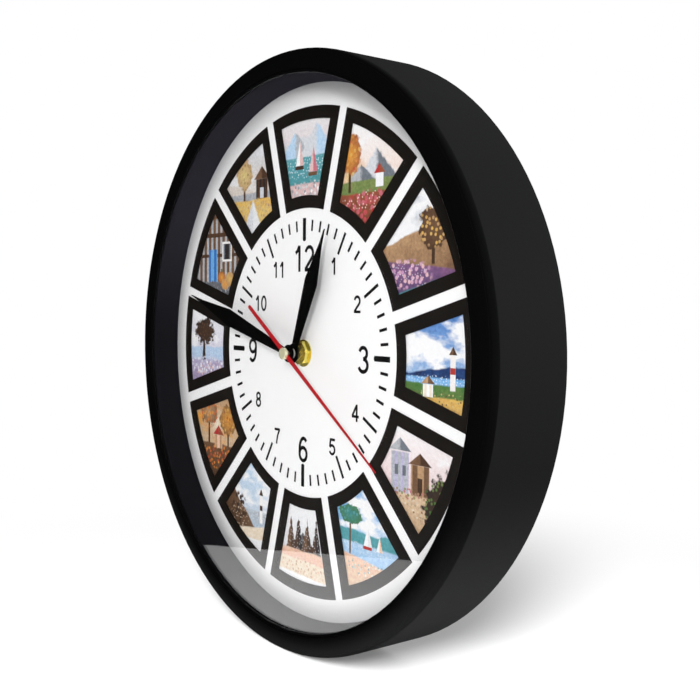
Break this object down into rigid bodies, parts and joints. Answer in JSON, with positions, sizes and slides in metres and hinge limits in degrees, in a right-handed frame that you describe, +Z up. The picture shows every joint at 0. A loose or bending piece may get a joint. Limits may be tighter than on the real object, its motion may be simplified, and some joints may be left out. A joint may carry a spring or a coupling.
{
  "type": "wall clock with photo dial",
  "caption": "Round wall clock with a deep glossy drum case, sector-shaped picture windows round the dial and a battery quartz movement with its gear train.",
  "frame": {"origin": "on the axis of the hands, in the plane of the rear rim that lies against the wall", "axes": "+Y is into the wall along the axis of the hands, so the dial faces -Y; +Z is up to 12 o'clock; +X is to 3 o'clock seen from the front"},
  "size_m": [0.3, 0.0442, 0.3],
  "materials": {
    "case": "glossy black front, satin drum",
    "glass": "clear float glass",
    "ring": "satin moulded",
    "dial_white": "matt white printed sheet",
    "frame_black": "matt black printed film",
    "print": "satin colour print",
    "back": "moulded, fine grain",
    "steel": "zinc plated",
    "movement_black": "moulded",
    "natural_plastic": "natural acetal",
    "brass": "bright turned",
    "rubber": "matt",
    "stator_steel": "annealed iron sheet",
    "copper": "enamelled copper wire",
    "board": "solder mask",
    "epoxy": "potting blob",
    "cell_wrap": "plain shrink wrap",
    "magnet": "sintered",
    "hand_black": "satin black lacquer",
    "hand_red": "satin red lacquer",
    "cap_cream": "pale plated cap"
  },
  "bodies": {
    "clock": {"case_ring": "case", "glass_lens": "glass", "sloped_ring": "ring", "dial": "dial_white", "window_frames": "frame_black", "picture_prints": "print", "back_plate": "back", "back_plate_screws": "steel", "hanger_bracket": "steel", "hanger_screws": "steel", "movement_case": "movement_black", "movement_cover": "movement_black", "middle_plate": "natural_plastic", "threaded_bush": "brass", "hex_nut": "brass", "nut_washer": "brass", "rubber_washer": "rubber", "stator": "stator_steel", "coil_bobbin": "natural_plastic", "coil_winding": "copper", "circuit_board": "board", "control_chip": "epoxy", "quartz_crystal": "steel", "positive_contact": "steel", "negative_contact": "steel"},
    "battery": {"battery_cell": "cell_wrap"},
    "rotor": {"rotor_magnet": "magnet", "rotor_pinion": "natural_plastic"},
    "intermediate": {"intermediate_wheel": "natural_plastic"},
    "seconds": {"seconds_wheel": "natural_plastic", "seconds_arbor": "steel", "second_hand": "hand_red", "second_hand_cap": "cap_cream"},
    "third": {"third_wheel": "natural_plastic"},
    "minute": {"centre_wheel": "natural_plastic", "minute_pipe": "brass", "cannon_pinion": "natural_plastic", "minute_hand": "hand_black"},
    "motion": {"motion_wheel": "natural_plastic"},
    "hour": {"hour_wheel": "natural_plastic", "hour_hand": "hand_black"},
    "knob": {"setting_knob": "movement_black"}
  },
  "joints": [
    {"name": "minute_turn", "type": "hinge", "parent": "clock", "child": "minute", "pos_m": [0, -0.0226, 0], "axis": [0, 1, 0], "continuous": true},
    {"name": "second_turn", "type": "hinge", "parent": "clock", "child": "seconds", "pos_m": [0, -0.0226, 0], "axis": [0, 1, 0], "continuous": true},
    {"name": "hour_turn", "type": "hinge", "parent": "clock", "child": "hour", "pos_m": [0, -0.0226, 0], "axis": [0, 1, 0], "continuous": true},
    {"name": "third_turn", "type": "hinge", "parent": "clock", "child": "third", "pos_m": [0.00885, -0.0226, 0.00619], "axis": [0, 1, 0], "continuous": true},
    {"name": "intermediate_turn", "type": "hinge", "parent": "clock", "child": "intermediate", "pos_m": [-0.00842, -0.0226, 0.00486], "axis": [0, 1, 0], "continuous": true},
    {"name": "rotor_turn", "type": "hinge", "parent": "clock", "child": "rotor", "pos_m": [-0.01141, -0.0226, 0.01308], "axis": [0, 1, 0], "continuous": true},
    {"name": "motion_turn", "type": "hinge", "parent": "clock", "child": "motion", "pos_m": [-0.008, -0.0226, 0], "axis": [0, 1, 0], "continuous": true},
    {"name": "knob_turn", "type": "hinge", "parent": "clock", "child": "knob", "pos_m": [-0.01552, -0.0226, -0.00274], "axis": [0, 1, 0], "continuous": true},
    {"name": "battery_slide", "type": "slide", "parent": "clock", "child": "battery", "axis": [0, 1, 0], "range_m": [0, 0.02]}
  ],
  "couplings": [
    {"joint": "minute_turn", "follows": "second_turn", "ratio": 0.016667},
    {"joint": "hour_turn", "follows": "second_turn", "ratio": 0.0013889},
    {"joint": "third_turn", "follows": "second_turn", "ratio": -0.13333},
    {"joint": "intermediate_turn", "follows": "second_turn", "ratio": -5},
    {"joint": "rotor_turn", "follows": "second_turn", "ratio": 30},
    {"joint": "motion_turn", "follows": "second_turn", "ratio": -0.0055556},
    {"joint": "knob_turn", "follows": "second_turn", "ratio": 0.016667}
  ]
}
